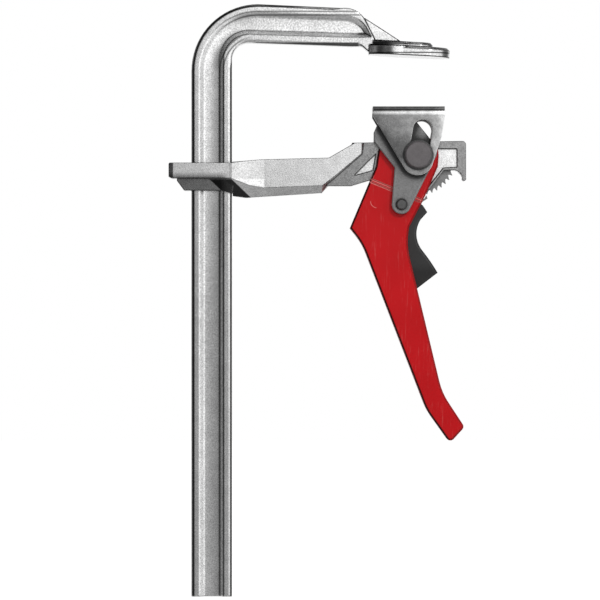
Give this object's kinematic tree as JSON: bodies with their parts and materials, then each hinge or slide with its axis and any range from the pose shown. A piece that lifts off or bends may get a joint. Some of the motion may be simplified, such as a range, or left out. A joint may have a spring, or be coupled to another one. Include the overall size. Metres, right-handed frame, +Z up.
{
  "type": "quick release bar clamp",
  "caption": "Lever bar clamp: profiled steel rail with a fixed jaw, a sliding arm, and a ratchet lever whose cams lift a pressure plate.",
  "frame": {"origin": "centre of the fixed jaw's clamping face, on the rail's mid plane", "axes": "+Z up along the rail, from the moving arm to the fixed jaw; +X from the rail to the jaws; -Y is the front"},
  "size_m": [0.1335, 0.0326, 0.2661],
  "materials": {
    "rail_steel": "nickel-plated profiled steel, fine satin grain",
    "forged_steel": "nickel-plated forging, fine granular surface",
    "plate_steel": "zinc-plated sheet, mottled satin",
    "cam_steel": "zinc-plated stamped plate, dull grey",
    "rack_steel": "hardened steel, dark grey",
    "pin_steel": "burnished steel, dark brownish grey",
    "rivet_steel": "oiled steel, dark grey",
    "red_paint": "gloss red powder coat",
    "black_plastic": "fine matt moulded plastic",
    "spring_steel": "bright spring wire"
  },
  "bodies": {
    "rail": {"rail": "rail_steel"},
    "slider": {"sliding_arm": "forged_steel", "ratchet_rack": "rack_steel", "rack_rivets": "rivet_steel", "pivot_pin": "pin_steel", "rear_pin_collar": "pin_steel", "front_washer": "rivet_steel", "rear_washer": "rivet_steel"},
    "lever": {"lever_handle": "red_paint", "cam_plate_front": "cam_steel", "cam_plate_rear": "cam_steel", "trigger_rivet": "rivet_steel", "trigger_sleeve": "rivet_steel", "trigger_spring": "spring_steel"},
    "trigger": {"release_trigger": "black_plastic", "pawl": "rack_steel", "pawl_pin": "rivet_steel"},
    "plate": {"pressure_plate": "plate_steel"}
  },
  "joints": [
    {"name": "arm_slide", "type": "slide", "parent": "rail", "child": "slider", "axis": [0, 0, 1], "range_m": [-0.178, 0.0195]},
    {"name": "lever_swing", "type": "hinge", "parent": "slider", "child": "lever", "pos_m": [0.0035, 0, -0.04465], "axis": [0, -1, 0], "range_deg": [-7.8, 46.8]},
    {"name": "plate_lift", "type": "slide", "parent": "slider", "child": "plate", "axis": [0.1736, 0, 0.9848], "range_m": [-0.00971, 0.00163]},
    {"name": "trigger_pull", "type": "hinge", "parent": "lever", "child": "trigger", "pos_m": [-0.00397, 0, -0.0667], "axis": [0, 1, 0], "range_deg": [-8, 5], "stiffness_Nm_per_rad": 0.3, "deforming": ["trigger_spring"]}
  ],
  "couplings": [
    {"joint": "plate_lift", "follows": "lever_swing", "m_per_rad": -0.01188}
  ]
}
